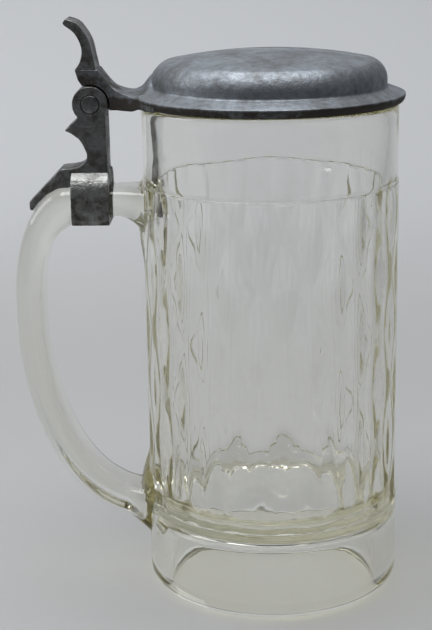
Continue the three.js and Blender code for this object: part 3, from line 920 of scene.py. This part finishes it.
def room():
    """A world that is darker on the camera's side of the mug than behind it."""
    world = bpy.data.worlds.new("Room")
    world.use_nodes = True
    tree = world.node_tree
    tree.nodes.clear()
    way = add_node(tree, "ShaderNodeTexCoord").outputs["Generated"]
    parts = add_node(tree, "ShaderNodeSeparateXYZ", {"Vector": way})
    depth = {"Value": parts.outputs["Y"], "From Min": -0.8, "From Max": 0.6}
    share = add_node(tree, "ShaderNodeMapRange", depth)
    greys = {"Factor": share.outputs["Result"], "A": to_linear("636567"), "B": to_linear("B8BABC")}
    colour = add_node(tree, "ShaderNodeMix", greys, data_type="RGBA")
    light = add_node(tree, "ShaderNodeBackground", {"Color": colour.outputs["Result"], "Strength": 0.7})
    add_node(tree, "ShaderNodeOutputWorld", {"Surface": light.outputs[0]})
    return world


# Operators


class MUG_OT_glass(bpy.types.Operator):
    """Makes the pressed glass body and its handle in one piece"""

    bl_idname = "mug.make_glass"
    bl_label = "Glass"

    def execute(self, context):
        size = context.scene.mug_glass
        body = skin("Pressed_Glass", body_rows(size))
        handle = skin("Glass_Handle", handle_rows(size))
        combined(body, "UNION", handle)
        body.data.shade_smooth()
        dress(body, pressed_glass(context.scene.mug_finishes), "glass_mug", "mug")
        return {"FINISHED"}


class MUG_OT_lid(bpy.types.Operator):
    """Makes the domed pewter lid with its hollow and its dents"""

    bl_idname = "mug.make_lid"
    bl_label = "Lid"

    def execute(self, context):
        size = context.scene.mug_pewter
        finishes = context.scene.mug_finishes
        lid = skin("Domed_Lid", dented(turned(lid_profile(size), 240)))
        finish = old_pewter(
            "Spun pewter",
            finishes.lid_grey,
            finishes.tarnish_and_shade,
            dull=0.58,
            patch=70.0,
            marks=0.3,
            cover=0.65,
            tooth=0.0002,
            # painted shade: the flange's side darker, where less light falls on it
            shade_bands=[("Z", *FLANGE_SHADE, 0.65)],
        )
        dress(lid, finish, "lid", "lid")
        return {"FINISHED"}


class MUG_OT_lid_fittings(bpy.types.Operator):
    """Makes the lid's arm and the thumb lift that stands on it"""

    bl_idname = "mug.make_lid_fittings"
    bl_label = "Arm and Thumb Lift"

    def execute(self, context):
        finishes = context.scene.mug_finishes
        cast = old_pewter(
            "Cast pewter",
            finishes.hinge_grey,
            finishes.tarnish_and_shade,
            dull=0.44,
            patch=160.0,
            marks=0.7,
            cover=0.9,
            tooth=0.0003,
        )
        rubbed = old_pewter(
            "Cast and rubbed pewter",
            finishes.lid_grey,
            finishes.tarnish_and_shade,
            dull=0.5,
            patch=110.0,
            marks=0.5,
            cover=0.8,
            tooth=0.0003,
            # painted shade on the flange's side, and on the arm towards the hinge
            shade_bands=[("Z", *FLANGE_SHADE, 0.5), ("X", AXIS[0] - 0.041, AXIS[0] - 0.051, 0.25)],
        )
        flare = skin("Flare", flare_rows(context.scene.mug_pewter))
        arm = worn_copy("Lid_Arm_Casting", "lid_arm", 0.00025, 6, AXIS[0] + PIN_X + 0.008, flare)
        dress(arm, rubbed, "lid_arm", "lid")
        thumb = worn_copy("Thumb_Lift_Casting", "thumb_lift", 0.0002, 4)
        dress(thumb, cast, "thumb_lift", "lid")
        return {"FINISHED"}


class MUG_OT_hinge(bpy.types.Operator):
    """Makes the shank with its lugs, the strap round the handle and the riveted pin"""

    bl_idname = "mug.make_hinge"
    bl_label = "Hinge"

    def execute(self, context):
        size = context.scene.mug_pewter
        finishes = context.scene.mug_finishes
        shank = grooved(worn_copy("Hinge_Shank_Casting", "hinge_shank", 0.0003, 5), size)
        dress(shank, bpy.data.materials["Cast pewter"], "hinge_shank", "mug")
        sheet = old_pewter(
            "Rubbed sheet pewter",
            finishes.strap_grey,
            finishes.tarnish_and_shade,
            dull=0.38,
            patch=200.0,
            marks=0.8,
            cover=0.7,
            tooth=0.0004,
            # painted shade: the strap's sides darker below its lit top
            shade_bands=[("Z", STRAP_HIGH[2] - 0.0055, STRAP_HIGH[2] - 0.009, 0.3)],
        )
        strap = bored(plate("Strap_Band", strap_rows(0.0004)), context.scene.mug_glass, size.hinge_width)
        strap.data.shade_smooth()
        dress(strap, sheet, "handle_strap", "mug")
        pin = skin("Riveted_Pin", round_the_pin(pin_profile(size)))
        steel = old_pewter(
            "Riveted steel",
            finishes.hinge_grey,
            finishes.tarnish_and_shade,
            dull=0.36,
            patch=300.0,
            marks=0.5,
            cover=0.9,
            tooth=0.0002,
        )
        dress(pin, steel, "hinge_pin", "mug")
        return {"FINISHED"}


class MUG_OT_stage(bpy.types.Operator):
    """Makes the camera, the pale floor and backdrop, the lamps and the world"""

    bl_idname = "mug.make_stage"
    bl_label = "Stage"

    def execute(self, context):
        scene = context.scene
        scene.camera = photo_camera()
        cove = cove_sheet(near=-0.45, back=0.9, bend=0.35, high=1.5, wide=1.6)
        cove.data.materials.append(seamless_paper(scene.mug_finishes))
        softbox("Overhead_Softbox", (-0.1, -0.1, 1.2), 15.0, 1.0, 0.9)
        softbox("Left_Softbox", (-1.1, 0.1, 0.7), 5.0, 0.7, 0.9)
        scene.world = room()
        # light goes round inside thick pressed glass many times before it leaves
        scene.cycles.max_bounces = scene.cycles.glossy_bounces = scene.cycles.transmission_bounces = 48
        scene.view_settings.view_transform = "Standard"
        return {"FINISHED"}


class MUG_PT_sidebar(bpy.types.Panel):
    """Lists the mug's sizes, its finishes and the steps that make it"""

    bl_idname = "MUG_PT_sidebar"
    bl_label = "Lidded Beer Mug"
    bl_space_type = "VIEW_3D"
    bl_region_type = "UI"
    bl_category = "Mug"

    def draw(self, context):
        layout = self.layout
        for group in (context.scene.mug_glass, context.scene.mug_pewter, context.scene.mug_finishes):
            column = layout.column()
            for name in group.bl_rna.properties.keys():
                if name not in ("rna_type", "name"):
                    column.prop(group, name)
        for step in STEPS:
            layout.operator(step.bl_idname)


STEPS = (MUG_OT_glass, MUG_OT_lid, MUG_OT_lid_fittings, MUG_OT_hinge, MUG_OT_stage)
GROUPS = {"mug_glass": MugGlassSizes, "mug_pewter": MugPewterSizes, "mug_finishes": MugFinishes}


def register():
    for kind in (*GROUPS.values(), *STEPS, MUG_PT_sidebar):
        bpy.utils.register_class(kind)
    for name, kind in GROUPS.items():
        setattr(bpy.types.Scene, name, PointerProperty(type=kind))


def unregister():
    for name in GROUPS:
        delattr(bpy.types.Scene, name)
    for kind in reversed((*GROUPS.values(), *STEPS, MUG_PT_sidebar)):
        bpy.utils.unregister_class(kind)


def main():
    register()
    bpy.ops.mug.make_glass()
    bpy.ops.mug.make_lid()
    bpy.ops.mug.make_lid_fittings()
    bpy.ops.mug.make_hinge()
    bpy.ops.mug.make_stage()


if __name__ == "__main__":
    main()
